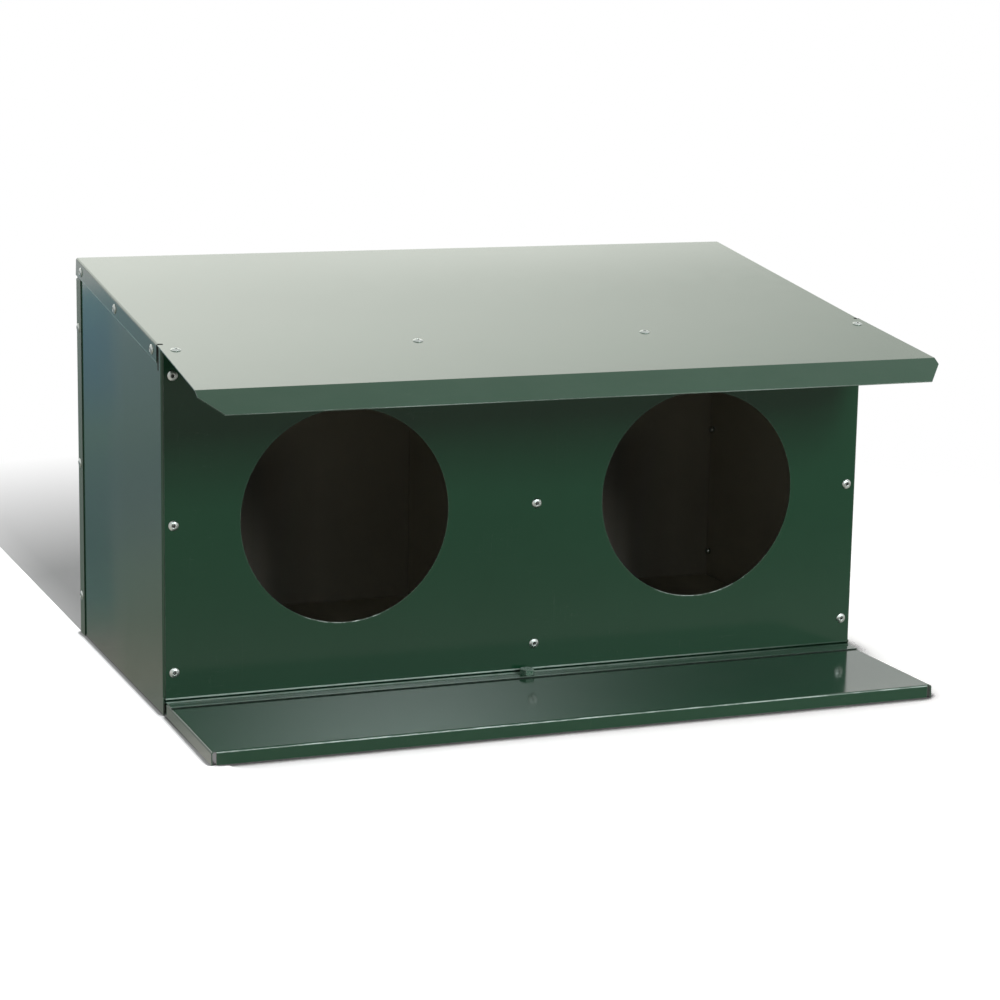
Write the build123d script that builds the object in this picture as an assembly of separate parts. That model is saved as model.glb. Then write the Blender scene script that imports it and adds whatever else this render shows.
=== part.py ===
"""Two-compartment dovecote of folded, painted sheet steel, put together with blind rivets.

A box with a falling roof stands on its own bottom edges. Its front has two round entrances, the roof runs
out over them and ends in a dropped lip, and a landing board lies in front, bolted to the floor's ledge.
Millimetres. X runs along the front, -Y is the front, +Z is up. The origin is on the ground, under the
middle of the whole piece.
"""

from build123d import *

import os
from math import atan2, cos, degrees, radians, sin, tan

# Sheet and folds
sheet = 1.0  # thickness of every sheet
bend = 1.0  # inside radius of every fold
gap = 0.3  # clearance between sheets that pass each other
corner_relief = 3.0  # a fold stops this far short of the corner that it shares with another

# Box
box_width = 700.0  # over the side panels
box_depth = 326.0  # from the front panel's face to the back panel's face
front_height = 336.0  # ground to the roof's upper side, at the front panel's face
back_height = 379.5  # ground to the roof's upper side, at the back panel's face
side_flange = 20.0  # inward folds of the side panels, at the front and at the bottom
back_strip = 19.0  # forward folds of the back panel, outside the side panels
back_foot = 20.0  # inward fold of the back panel at the bottom
divider_flange = 21.5  # front and rear folds of the centre divider
divider_x = 0.0  # centre plane of the divider

# Front panel and its entrances
panel_inset = 2.0  # the front panel stops this far inside the box's corners
panel_bottom = 14.0  # height of the front panel's lower fold
panel_return = 12.0  # inward fold along its lower edge
panel_crown = 18.0  # forward fold along its upper edge, under the roof
entrance_diameter = 200.0
entrance_spacing = 355.5  # centre to centre
entrance_height = 174.5

# Floor and landing board
floor_top = 13.0
floor_ledge = 20.7  # the floor reaches this far in front of the front panel
board_depth = 161.0  # front panel's face to the landing board's front
board_front_width = 701.0
board_back_width = 697.0
board_back_gap = 3.0  # free space between the front panel's face and the board's rear edge
board_corner_gap = 4.5  # the front fold stops this far inside the open corners

# Roof
roof_flange = 17.0  # depth of the roof's side and rear folds
roof_overhang = 130.0  # front panel's face to the lip's fold, level
roof_flare = 3.8  # the overhang widens by this much on each side
slit_back = 10.0  # relief slit behind the front panel's face
slit_depth = 4.5
slit_width = 1.0
lip_length = 33.4
lip_angle = 30.5  # the lip's fall below level, in degrees
lip_straight = 9.2  # length of the lip's square ends before its corners are cut away
lip_corner = 18.2  # inset of the cut corners at the lip's edge

# Blind rivets
rivet_diameter = 4.8
rivet_clearance = 0.1  # on the hole's diameter
rivet_head = 9.5
rivet_head_height = 1.6
rivet_head_edge = 0.4
rivet_mandrel = 2.7
rivet_dimple = 0.9
rivet_bulb = 7.0
rivet_bulb_length = 4.5
row_low = 39.5  # lowest rivet row of the front and back panels
row_crown = 25.3  # their highest row, below the lower end of the roof's upper side
rivet_rows = 3
column_inset = 10.3  # front panel's outer rivets, from the box's corners
divider_column = 10.7  # divider's rivets, from its centre plane
strip_column = 8.5  # back strips' rivets, from the back face
roof_rivet_drop = 9.4  # side and rear rivets, below the roof's upper side
roof_rivet_first = 28.0  # first side rivet, behind the front panel's face
roof_rivet_last = 23.0  # last side rivet, ahead of the back panel's face
crown_rivet = 9.0  # roof's front rivets, ahead of the front panel's face
crown_rivets = 4
crown_rivet_inset = 11.0  # from the box's corners
floor_rivet_height = 7.0
floor_rivet_inset = 50.0  # from the box's corners

# Landing board's bolt
bolt_diameter = 8.0
bolt_hole = 8.6
bolt_head = 13.0  # across flats
bolt_head_height = 5.3
bolt_tip_height = 1.0  # above the ground
bolt_reach = 10.5  # axis, in front of the front panel's face
nut_height = 6.5
washer_diameter = 16.0
washer_bore = 8.4
washer_thickness = 1.6
thread_clearance = 0.1

# Heights and places that follow
half = box_width / 2
skin = half + sheet  # outer face of the roof's folds and of the back strips
outer_bend = bend + sheet
fall = (back_height - front_height) / box_depth
pitch_angle = degrees(atan2(back_height - front_height, box_depth))
slope = cos(radians(pitch_angle))
rear_reach = box_depth + sheet + rivet_head_height
lip_reach = roof_overhang + lip_length * cos(radians(lip_angle))
front_reach = max(board_depth, lip_reach)
front_y = (front_reach - rear_reach) / 2
back_y = front_y + box_depth
floor_half = half - sheet - bend
seat = 2 * sheet  # two sheets under every rivet head
under_roof = bend + gap  # the panels stop this far below the roof, clear of its folds

up = (0, 0, 1)
down = (0, 0, -1)
forward = (0, -1, 0)
backward = (0, 1, 0)
roof_normal = (0, -sin(radians(pitch_angle)), slope)
up_slope = (0, slope, sin(radians(pitch_angle)))
down_slope = (0, -up_slope[1], -up_slope[2])


def roof_top(y):
    """Height of the roof's upper side above a place in the box."""
    return front_height + (y - front_y) * fall


def roof_under(y):
    return roof_top(y) - sheet / slope


def on_roof(x, run):
    """Point on the roof's upper side, at a level distance behind the front panel's face."""
    return (x, front_y + run, roof_top(front_y + run))


def plate(origin, x_dir, normal, outline):
    """Flat sheet whose outer face lies in the plane through origin; the outline is in that plane."""
    plane = Plane(origin=origin, x_dir=x_dir, z_dir=normal)
    face = make_face(Polyline(*outline, close=True))
    return extrude(plane * face, amount=-sheet)


def setback(turn=90.0):
    """Distance from a fold's sharp outer corner to where its flat sheet begins."""
    return outer_bend * tan(radians(turn) / 2)


def fold(corner, outward, normal, length, depth, turn=90.0, straight=None, inset=0.0):
    """Bend and flange along a sheet's edge, turned away from the outer face.

    corner is the middle of the sharp outer corner, outward points off the edge, normal off the outer face.
    depth runs from the sharp corner. The flange's own corners are cut away beyond the straight length.
    """
    along = Vector(*outward).cross(Vector(*normal))
    section = Plane(origin=corner, x_dir=outward, z_dir=along)
    angle = radians(turn)
    start = -setback(turn)
    reach = depth - setback(turn)

    def at(radius, share):
        return (start + radius * sin(angle * share), -outer_bend + radius * cos(angle * share))

    def beyond(point, distance):
        return (point[0] + distance * cos(angle), point[1] - distance * sin(angle))

    outer_end = at(outer_bend, 1)
    inner_end = at(bend, 1)
    outline = [
        ThreePointArc(at(outer_bend, 0), at(outer_bend, 0.5), outer_end),
        Polyline(outer_end, beyond(outer_end, reach), beyond(inner_end, reach), inner_end),
        ThreePointArc(inner_end, at(bend, 0.5), at(bend, 0)),
        Line(at(bend, 0), at(outer_bend, 0)),
    ]
    flange = extrude(section * make_face(outline), amount=length / 2, both=True)
    if straight is None:
        return flange
    tip = section.from_local_coords(beyond(outer_end, reach))
    flange_out = section.from_local_coords(beyond(outer_end, reach + 1)) - tip
    face_out = flange_out.cross(along) * -1
    edge = Plane(origin=tip, x_dir=along, z_dir=face_out)
    for side in (-1, 1):
        end = side * length / 2
        corner_cut = Polyline(
            (end, straight - depth),
            (end - side * inset, 0),
            (end - side * inset, sheet),
            (end + side * sheet, sheet),
            (end + side * sheet, straight - depth),
            close=True,
        )
        flange -= extrude(edge * make_face(corner_cut), amount=2 * sheet, both=True)
    return flange


def drill(part, spots, diameter, reach):
    """Round holes through the sheets at each (point, direction)."""
    for point, direction in spots:
        axis = Plane(origin=point, z_dir=direction)
        part -= axis * Cylinder(diameter / 2, 2 * reach)
    return part


def rivet(point, direction):
    """A set blind rivet: domed head with its mandrel hole, body, and the bulb behind two sheets."""
    head = rivet_head / 2
    body = rivet_diameter / 2
    hole = rivet_mandrel / 2
    bulb = rivet_bulb / 2
    tail = -seat - rivet_bulb_length
    crown = ThreePointArc(
        (hole, rivet_head_height),
        ((hole + head) / 2, rivet_head_height * 0.84),
        (head, rivet_head_edge),
    )
    shank = Polyline(
        (head, rivet_head_edge),
        (head, 0),
        (body, 0),
        (body, -seat),
        (bulb, -seat),
        (bulb, tail + bulb / 2),
        (hole, tail),
        (0, tail),
        (0, rivet_head_height - rivet_dimple),
        (hole, rivet_head_height - rivet_dimple),
        (hole, rivet_head_height),
    )
    profile = Plane.XZ * make_face([crown, shank])
    return Plane(origin=point, z_dir=direction) * revolve(profile, Axis.Z)


def hexagon(across_flats, height, bore=0.0):
    """Hexagonal head or nut standing on z = 0, with the corners of both ends turned off."""
    corner = across_flats / 2 / cos(radians(30))
    turned = (corner - across_flats / 2) * tan(radians(30))
    blank = extrude(RegularPolygon(corner, 6), amount=height)
    envelope = Polyline(
        (0, 0),
        (across_flats / 2, 0),
        (corner, turned),
        (corner, height - turned),
        (across_flats / 2, height),
        (0, height),
        close=True,
    )
    blank &= revolve(Plane.XZ * make_face(envelope), Axis.Z)
    if bore:
        blank -= Pos(0, 0, height / 2) * Cylinder(bore / 2, 2 * height)
    return blank


# Rivet places, each a point on the outer sheet's face and the way its head looks
row_high = min(front_height, back_height) - row_crown
rows = [row_low + (row_high - row_low) * i / (rivet_rows - 1) for i in range(rivet_rows)]
column_x = half - column_inset
divider_rivet_x = divider_x + divider_column
crown_x = [
    (half - crown_rivet_inset) * (2 * i / (crown_rivets - 1) - 1) for i in range(crown_rivets)
]
roof_rivet_span = box_depth - roof_rivet_first - roof_rivet_last
roof_runs = [roof_rivet_first + roof_rivet_span * i / (rivet_rows - 1) for i in range(rivet_rows)]


def roof_side_spot(side, run):
    x, y, z = on_roof(side * skin, run)
    along = roof_rivet_drop
    return ((x, y - along * roof_normal[1], z - along * roof_normal[2]), (side, 0, 0))


rivets = {
    "front_left_rivets": [((-column_x, front_y, z), forward) for z in rows],
    "front_centre_rivets": [((divider_rivet_x, front_y, z), forward) for z in rows],
    "front_right_rivets": [((column_x, front_y, z), forward) for z in rows],
    "roof_front_rivets": [(on_roof(x, -crown_rivet), roof_normal) for x in crown_x],
    "roof_left_rivets": [roof_side_spot(-1, run) for run in roof_runs],
    "roof_right_rivets": [roof_side_spot(1, run) for run in roof_runs],
    "roof_back_rivets": [
        ((x, back_y + sheet, back_height - roof_rivet_drop), backward) for x in crown_x
    ],
    "back_left_rivets": [((-skin, back_y - strip_column, z), (-1, 0, 0)) for z in rows],
    "back_right_rivets": [((skin, back_y - strip_column, z), (1, 0, 0)) for z in rows],
    "back_centre_rivets": [((divider_rivet_x, back_y, z), backward) for z in rows],
    "floor_back_rivets": [
        ((i * (half - floor_rivet_inset), back_y, floor_rivet_height), backward)
        for i in (-1, 0, 1)
    ],
}
bolt_spot = ((0, front_y - bolt_reach, floor_top), up)


def riveted(part, *groups):
    """The part with the holes of the rivet groups that pass through it."""
    for group in groups:
        part = drill(part, rivets[group], rivet_diameter + rivet_clearance, seat + sheet)
    return part


def make_roof():
    """Falling roof with side and rear folds, relief slits, a flared overhang and a dropped lip."""
    rear_turn = 90 + pitch_angle
    lip_turn = lip_angle - pitch_angle
    rear_run = (box_depth + sheet) / slope
    lip_run = -roof_overhang / slope
    slit_run = slit_back / slope
    flange_start = slit_run + slit_width
    flange_end = rear_run - corner_relief
    flat = skin - setback()
    right_edge = [
        (flat, rear_run - setback(rear_turn)),
        (flat, flange_start),
        (skin - slit_depth, flange_start),
        (skin - slit_depth, slit_run),
        (skin, slit_run),
        (skin + roof_flare, lip_run + setback(lip_turn)),
    ]
    left_edge = [(-x, run) for x, run in reversed(right_edge)]
    roof = plate(on_roof(0, 0), (1, 0, 0), roof_normal, right_edge + left_edge)
    flange_middle = (flange_start + flange_end) / 2 * slope
    for side in (-1, 1):
        roof += fold(
            on_roof(side * skin, flange_middle),
            (side, 0, 0),
            roof_normal,
            flange_end - flange_start,
            roof_flange,
        )
    roof += fold(
        on_roof(0, box_depth + sheet),
        up_slope,
        roof_normal,
        2 * (skin - corner_relief),
        roof_flange,
        rear_turn,
    )
    roof += fold(
        on_roof(0, -roof_overhang),
        down_slope,
        roof_normal,
        2 * (skin + roof_flare),
        lip_length,
        lip_turn,
        lip_straight,
        lip_corner,
    )
    return riveted(
        roof, "roof_front_rivets", "roof_left_rivets", "roof_right_rivets", "roof_back_rivets"
    )


def make_front():
    """Front panel with two round entrances, an inward fold below and a forward fold under the roof."""
    inner_y = front_y + sheet
    width = box_width - 2 * panel_inset
    crown_turn = 90 + pitch_angle
    crown_height = roof_under(inner_y)
    outline = [
        (-width / 2, panel_bottom + setback()),
        (width / 2, panel_bottom + setback()),
        (width / 2, crown_height - setback(crown_turn)),
        (-width / 2, crown_height - setback(crown_turn)),
    ]
    panel = plate((0, front_y, 0), (1, 0, 0), forward, outline)
    panel += fold((0, front_y, panel_bottom), down, forward, width, panel_return)
    panel += fold((0, inner_y, crown_height), up, backward, width, panel_crown, crown_turn)
    entrances = [
        ((side * entrance_spacing / 2, front_y, entrance_height), forward) for side in (-1, 1)
    ]
    panel = drill(panel, entrances, entrance_diameter, 2 * sheet)
    return riveted(
        panel,
        "front_left_rivets",
        "front_centre_rivets",
        "front_right_rivets",
        "roof_front_rivets",
    )


def make_side(side):
    """Side panel with inward folds at the front and the bottom, and a top cut to the roof's fall."""
    web_front = front_y + sheet
    web_back = back_y - sheet - bend
    flange_low = panel_bottom + outer_bend + gap
    foot_front = web_front + 2 * corner_relief
    foot_back = web_back - corner_relief
    top_front = roof_under(web_front) - under_roof
    outline = [
        (web_front, 0),
        (foot_front, 0),
        (foot_front, setback()),
        (foot_back, setback()),
        (foot_back, 0),
        (web_back, 0),
        (web_back, roof_under(web_back) - under_roof),
        (web_front + setback(), roof_under(web_front + setback()) - under_roof),
        (web_front + setback(), flange_low),
        (web_front, flange_low),
    ]
    out = (side, 0, 0)
    points = [(side * y, z) for y, z in outline]
    panel = plate((side * half, 0, 0), (0, side, 0), out, points)
    panel += fold(
        (side * half, web_front, (flange_low + top_front) / 2),
        forward,
        out,
        top_front - flange_low,
        side_flange,
    )
    panel += fold(
        (side * half, (foot_front + foot_back) / 2, 0),
        down,
        out,
        foot_back - foot_front,
        side_flange,
    )
    name = "left" if side < 0 else "right"
    return riveted(
        panel, f"front_{name}_rivets", f"roof_{name}_rivets", f"back_{name}_rivets"
    )


def make_back():
    """Back panel with forward strips outside the side panels and a foot folded in under the floor."""
    strip_front = back_y - back_strip
    strip_top = roof_top(strip_front) - roof_flange / slope - 2 * gap
    flat = skin - setback()
    foot_half = half - side_flange - corner_relief
    top = roof_under(back_y - sheet) - under_roof
    outline = [
        (-flat, 0),
        (-foot_half, 0),
        (-foot_half, setback()),
        (foot_half, setback()),
        (foot_half, 0),
        (flat, 0),
        (flat, top),
        (-flat, top),
    ]
    outline = [(-x, z) for x, z in outline]
    panel = plate((0, back_y, 0), (-1, 0, 0), backward, outline)
    for side in (-1, 1):
        panel += fold(
            (side * skin, back_y, strip_top / 2), (side, 0, 0), backward, strip_top, back_strip
        )
    panel += fold((0, back_y, 0), down, backward, 2 * foot_half, back_foot)
    return riveted(
        panel,
        "back_left_rivets",
        "back_right_rivets",
        "back_centre_rivets",
        "roof_back_rivets",
        "floor_back_rivets",
    )


def make_floor():
    """Floor with its edges folded down inside the box and a flat ledge ahead of the front panel."""
    inner_back = back_y - sheet
    fold_front = front_y + sheet + 2 * corner_relief
    fold_back = inner_back - corner_relief
    flat = floor_half - setback()
    right_edge = [
        (floor_half, front_y - floor_ledge),
        (floor_half, fold_front),
        (flat, fold_front),
        (flat, inner_back - setback()),
    ]
    left_edge = [(-x, y) for x, y in reversed(right_edge)]
    floor = plate((0, 0, floor_top), (1, 0, 0), up, right_edge + left_edge)
    for side in (-1, 1):
        floor += fold(
            (side * floor_half, (fold_front + fold_back) / 2, floor_top),
            (side, 0, 0),
            up,
            fold_back - fold_front,
            floor_top - sheet,
        )
    floor += fold(
        (0, inner_back, floor_top),
        backward,
        up,
        2 * (floor_half - corner_relief),
        floor_top - outer_bend - gap,
    )
    floor = drill(floor, [bolt_spot], bolt_hole, 2 * sheet)
    return riveted(floor, "floor_back_rivets")


def make_divider():
    """Channel-shaped partition, notched at the front to pass the front panel's lower fold."""
    outer_x = divider_x - sheet / 2
    front = front_y + sheet
    back = back_y - sheet
    notch_back = front_y + panel_return + sheet
    notch_top = panel_bottom + outer_bend + gap
    top_front = roof_under(front) - under_roof
    outline = [
        (notch_back, floor_top),
        (back - setback(), floor_top),
        (back - setback(), roof_under(back - setback()) - under_roof),
        (front + setback(), roof_under(front + setback()) - under_roof),
        (front + setback(), notch_top),
        (notch_back, notch_top),
    ]
    points = [(-y, z) for y, z in outline]
    divider = plate((outer_x, 0, 0), (0, -1, 0), (-1, 0, 0), points)
    top_back = roof_under(back - setback()) - under_roof
    for y, outward, low, high in (
        (front, forward, notch_top, top_front),
        (back, backward, floor_top, top_back),
    ):
        divider += fold(
            (outer_x, y, (low + high) / 2), outward, (-1, 0, 0), high - low, divider_flange
        )
    return riveted(divider, "front_centre_rivets", "back_centre_rivets")


def make_landing_board():
    """Shallow board with its front and sides folded down to the ground, a little wider at the front."""
    top = floor_top - sheet
    rear = front_y - board_back_gap
    front = front_y - board_depth
    flat_front = front + setback()
    wide = board_front_width / 2
    narrow = board_back_width / 2
    spread = atan2(wide - narrow, rear - front)
    inner_rear = narrow - setback() / cos(spread)
    inner_front = inner_rear + (rear - flat_front) * tan(spread)
    board = plate(
        (0, 0, top),
        (1, 0, 0),
        up,
        [(-inner_front, flat_front), (inner_front, flat_front), (inner_rear, rear), (-inner_rear, rear)],
    )
    trim = Pos(0, (front + rear) / 2, 0) * Box(2 * board_front_width, rear - front, 4 * top)
    for side in (-1, 1):
        long_fold = fold(
            (side * (wide + narrow) / 2, (front + rear) / 2, top),
            (side * cos(spread), sin(spread), 0),
            up,
            board_depth + board_front_width - board_back_width,
            top,
        )
        board += long_fold & trim
    board += fold((0, front, top), forward, up, 2 * (wide - board_corner_gap), top)
    return drill(board, [bolt_spot], bolt_hole, 3 * sheet)


def make_bolt():
    """Hexagon bolt through the ledge and the landing board."""
    seat_plane = Plane(origin=bolt_spot[0])
    length = floor_top - bolt_tip_height
    shank = Pos(0, 0, -length / 2) * Cylinder(bolt_diameter / 2, length)
    shank = chamfer(shank.edges().group_by(Axis.Z)[0], sheet / 2)
    return seat_plane * (hexagon(bolt_head, bolt_head_height) + shank)


def make_washer():
    x, y, _ = bolt_spot[0]
    middle = floor_top - seat - washer_thickness / 2
    ring = Cylinder(washer_diameter / 2, washer_thickness)
    ring -= Cylinder(washer_bore / 2, 2 * washer_thickness)
    return Pos(x, y, middle) * ring


def make_nut():
    x, y, _ = bolt_spot[0]
    low = floor_top - seat - washer_thickness - nut_height
    return Pos(x, y, low) * hexagon(bolt_head, nut_height, bolt_diameter + thread_clearance)


nodes = {
    "roof_panel": make_roof(),
    "front_panel": make_front(),
    "left_side_panel": make_side(-1),
    "right_side_panel": make_side(1),
    "back_panel": make_back(),
    "floor_panel": make_floor(),
    "centre_divider": make_divider(),
    "landing_board": make_landing_board(),
    "landing_board_bolt": make_bolt(),
    "landing_board_washer": make_washer(),
    "landing_board_nut": make_nut(),
}
for group, spots in rivets.items():
    nodes[group] = Compound([rivet(point, direction) for point, direction in spots])

os.makedirs("parts", exist_ok=True)
for name, shape in nodes.items():
    export_step(shape, f"parts/{name}.step")
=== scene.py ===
# %% [markdown]
# # A dovecote of folded sheet steel
# The real object is a box for two pairs of pigeons: seven folded sheets of green-coated steel, held by blind
# rivets, with a landing board bolted on in front. The measured model already holds every sheet, fold and
# fastener at its true size, so this lesson loads it as a fixed frame and gives it finishes, finer fasteners,
# light and a camera. All lengths are in metres.

# %% Load the measured model
import math

import bmesh
import bpy
from mathutils import Matrix, Vector


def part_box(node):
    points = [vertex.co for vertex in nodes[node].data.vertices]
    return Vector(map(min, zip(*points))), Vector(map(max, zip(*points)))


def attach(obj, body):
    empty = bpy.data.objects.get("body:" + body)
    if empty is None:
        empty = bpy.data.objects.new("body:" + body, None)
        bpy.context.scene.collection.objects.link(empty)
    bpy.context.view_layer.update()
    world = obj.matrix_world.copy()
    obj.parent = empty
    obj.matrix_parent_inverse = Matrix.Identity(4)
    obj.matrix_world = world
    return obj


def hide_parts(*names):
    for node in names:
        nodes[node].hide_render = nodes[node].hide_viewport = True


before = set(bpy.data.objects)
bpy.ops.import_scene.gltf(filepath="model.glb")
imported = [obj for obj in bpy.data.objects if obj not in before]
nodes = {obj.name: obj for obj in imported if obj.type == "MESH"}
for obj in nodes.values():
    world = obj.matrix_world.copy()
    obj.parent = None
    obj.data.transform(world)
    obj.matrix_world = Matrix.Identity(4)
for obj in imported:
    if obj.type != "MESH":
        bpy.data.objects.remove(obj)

bpy.context.view_layer.update()

# %% [markdown]
# ## Sizes that the finishes need
# A finish that knows where it is on the box, such as the dull inside of the compartments, needs a few sizes.
# Most are read from the sheets themselves, so they can't drift away from the model.

# %% Sizes of the box
MM = 0.001
sheet = 1 * MM
bolt_head = 5.3 * MM
side_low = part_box("left_side_panel")[0]
wall_x = -side_low.x
front_face = side_low.y - sheet
back_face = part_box("back_panel")[1].y
roof_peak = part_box("roof_panel")[1].z
roof_front = 336 * MM
fall = (roof_peak - roof_front) / (back_face - front_face)
floor_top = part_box("landing_board_bolt")[1].z - bolt_head
print("walls at", wall_x, "front", front_face, "back", back_face, "peak", roof_peak)

# %% [markdown]
# ## Helpers for shader nodes
# Every finish is a small network of shader nodes. A few helpers keep the networks short. The first ones add a
# node with its settings, and give a socket either a link or a plain value.


# %% Helpers: nodes and sockets
def add(tree, kind, **settings):
    node = tree.nodes.new(kind)
    for key, value in settings.items():
        setattr(node, key, value)
    return node


def give(tree, socket, value):
    """Joins a socket to another one, or sets its plain value."""
    if isinstance(value, bpy.types.NodeSocket):
        tree.links.new(value, socket)
    else:
        socket.default_value = value


def feed(tree, node, **values):
    """Gives several of a node's inputs by name; a space in a name is written as an underscore."""
    for key, value in values.items():
        give(tree, node.inputs[key.replace("_", " ")], value)
    return node


print("ready: add, give, feed")

# %% [markdown]
# The next helpers do arithmetic in nodes. Most masks are products of soft steps, so "spread", which maps one
# range onto another and holds it there, and "product" turn up again and again.


# %% Helpers: arithmetic
def maths(tree, operation, first, second=0.0, third=0.0, clamp=False):
    node = add(tree, "ShaderNodeMath", operation=operation, use_clamp=clamp)
    for socket, value in zip(node.inputs, (first, second, third)):
        give(tree, socket, value)
    return node.outputs[0]


def product(tree, first, *others):
    for other in others:
        first = maths(tree, "MULTIPLY", first, other)
    return first


def spread(tree, value, low, high, to_low=0.0, to_high=1.0):
    """Maps a value from one range to another and holds it there."""
    node = add(tree, "ShaderNodeMapRange", clamp=True)
    feed(tree, node, Value=value, From_Min=low, From_Max=high, To_Min=to_low, To_Max=to_high)
    return node.outputs[0]


def sum_of_squares(tree, first, second):
    return maths(tree, "ADD", product(tree, first, first), product(tree, second, second))


def vector_maths(tree, operation, first, second=(0, 0, 0)):
    node = add(tree, "ShaderNodeVectorMath", operation=operation)
    give(tree, node.inputs[0], first)
    give(tree, node.inputs[1], second)
    gives_number = operation in ("DOT_PRODUCT", "LENGTH")
    return node.outputs["Value" if gives_number else "Vector"]


print("ready: maths, product, spread, sum_of_squares, vector_maths")

# %% [markdown]
# The last helpers deal with colour, pattern and place. Patterns and masks read Object coordinates: every
# sheet keeps its origin under the middle of the box, so a point has the same coordinates in all of them.


# %% Helpers: colour, pattern and place
def blend_colour(tree, share, first, second):
    node = add(tree, "ShaderNodeMix", data_type="RGBA", blend_type="MIX")
    for socket, value in zip((node.inputs[0], node.inputs[6], node.inputs[7]), (share, first, second)):
        give(tree, socket, value)
    return node.outputs[2]


def ramp(tree, value, stops):
    """A colour that changes along a value; stops are (value, colour) pairs in rising order."""
    low, high = stops[0][0], stops[-1][0]
    node = add(tree, "ShaderNodeValToRGB")
    feed(tree, node, Fac=spread(tree, value, low, high))
    elements = node.color_ramp.elements
    for stop, _ in stops[1:-1]:
        elements.new((stop - low) / (high - low))
    for element, (_, colour) in zip(elements, stops):
        element.color = (*colour, 1)
    return node.outputs["Color"]


def noise(tree, place, scale, detail=2.0, roughness=0.5, stretch=None):
    if stretch:
        mapping = add(tree, "ShaderNodeMapping")
        place = feed(tree, mapping, Vector=place, Scale=stretch).outputs[0]
    node = add(tree, "ShaderNodeTexNoise")
    feed(tree, node, Vector=place, Scale=scale, Detail=detail, Roughness=roughness)
    return node.outputs[0]


def axes_of(tree, vector):
    return feed(tree, add(tree, "ShaderNodeSeparateXYZ"), Vector=vector).outputs


def object_coordinates(tree):
    return add(tree, "ShaderNodeTexCoord").outputs["Object"]


def object_axes(tree):
    return axes_of(tree, object_coordinates(tree))


def object_place(tree):
    """Object coordinates, whole and as X, Y and Z."""
    place = object_coordinates(tree)
    return place, axes_of(tree, place)


def facing(tree, normal="Normal"):
    """The way a face looks, as X, Y and Z."""
    return axes_of(tree, add(tree, "ShaderNodeNewGeometry").outputs[normal])


print("ready: blend_colour, ramp, noise, object_place, object_axes, facing")

# %% [markdown]
# ## Shared effects
# The same few effects turn up in every finish, so each is a group that is built once. "Worn edges" compares
# the true normal with one that is rounded over a small radius: they differ only near an edge, which is where
# a cut sheet shows its metal and a handled part loses its coat.


# %% Group: worn edges
def new_group(name, inputs, outputs):
    """A node group; inputs are (name, default), outputs are (name, socket kind)."""
    tree = bpy.data.node_groups.new(name, "ShaderNodeTree")
    for title, default in inputs:
        socket = tree.interface.new_socket(title, in_out="INPUT", socket_type="NodeSocketFloat")
        socket.default_value = default
    for title, kind in outputs:
        tree.interface.new_socket(title, in_out="OUTPUT", socket_type=kind)
    source = tree.nodes.new("NodeGroupInput")
    sink = tree.nodes.new("NodeGroupOutput")
    return tree, source.outputs, sink.inputs


def build_worn_edges():
    tree, given, result = new_group(
        "Worn edges",
        [("Radius", 0.5 * MM), ("Breakup", 0.5)],
        [("Mask", "NodeSocketFloat"), ("Normal", "NodeSocketVector")],
    )
    place = object_coordinates(tree)
    rounded = feed(tree, add(tree, "ShaderNodeBevel", samples=6), Radius=given["Radius"]).outputs[0]
    flat = add(tree, "ShaderNodeNewGeometry").outputs["True Normal"]
    likeness = vector_maths(tree, "DOT_PRODUCT", rounded, flat)
    # In the green coat this mask also paints pale highlight lines along edges.
    edge = spread(tree, likeness, 0.995, 0.93)
    patches = spread(tree, noise(tree, place, 160, 3), 0.35, 0.65)
    kept = maths(tree, "SUBTRACT", 1.0, product(tree, given["Breakup"], patches))
    give(tree, result["Mask"], product(tree, edge, kept))
    give(tree, result["Normal"], rounded)
    print("group", tree.name, len(tree.nodes), "nodes")
    return tree


worn_edges = build_worn_edges()

# %% [markdown]
# "Coat surface" is what a baked coat has on thin sheet: a fine orange peel, long gentle waves where the sheet
# isn't quite flat, and a tone that changes a little from place to place. Peel and waves leave as one height
# for a Bump node, because bump is enough for relief of a few thousandths of a millimetre.


# %% Group: coat surface
def build_coat_surface():
    tree, given, result = new_group(
        "Coat surface",
        [("Peel", 1.0), ("Waves", 1.0)],
        [("Height", "NodeSocketFloat"), ("Tone", "NodeSocketFloat"), ("Dullness", "NodeSocketFloat")],
    )
    place = object_coordinates(tree)
    wave_height = 12.0
    peel = product(tree, noise(tree, place, 420, 2), given["Peel"])
    waves = noise(tree, place, 5.5, 1, 0.4, stretch=(1.0, 1.4, 1.4))
    waves = product(tree, waves, given["Waves"], wave_height)
    give(tree, result["Height"], maths(tree, "ADD", peel, waves))
    give(tree, result["Tone"], spread(tree, noise(tree, place, 9, 3, 0.55), 0.3, 0.7))
    give(tree, result["Dullness"], spread(tree, noise(tree, place, 70, 4, 0.6), 0.35, 0.7))
    print("group", tree.name, len(tree.nodes), "nodes")
    return tree


coat_surface = build_coat_surface()

# %% [markdown]
# "Handling marks" are what storage and handling leave on a coat: a few hairline scratches, and dust that
# settles on what faces up. The scratches are a very stretched noise cut off near its middle value, so that
# only thin broken lines are left. Three directions of stretch keep them from lying all one way.


# %% Group: handling marks
def hairlines(tree, place, turn, stretch):
    """Thin lines along one direction of a stretched noise."""
    turned = add(tree, "ShaderNodeMapping")
    feed(tree, turned, Vector=place, Rotation=(turn, turn * 0.6, turn), Scale=stretch)
    value = noise(tree, turned.outputs[0], 9, 1, 0.3)
    value = maths(tree, "ABSOLUTE", maths(tree, "SUBTRACT", value, 0.5))
    return spread(tree, value, 0.004, 0.0)


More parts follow.
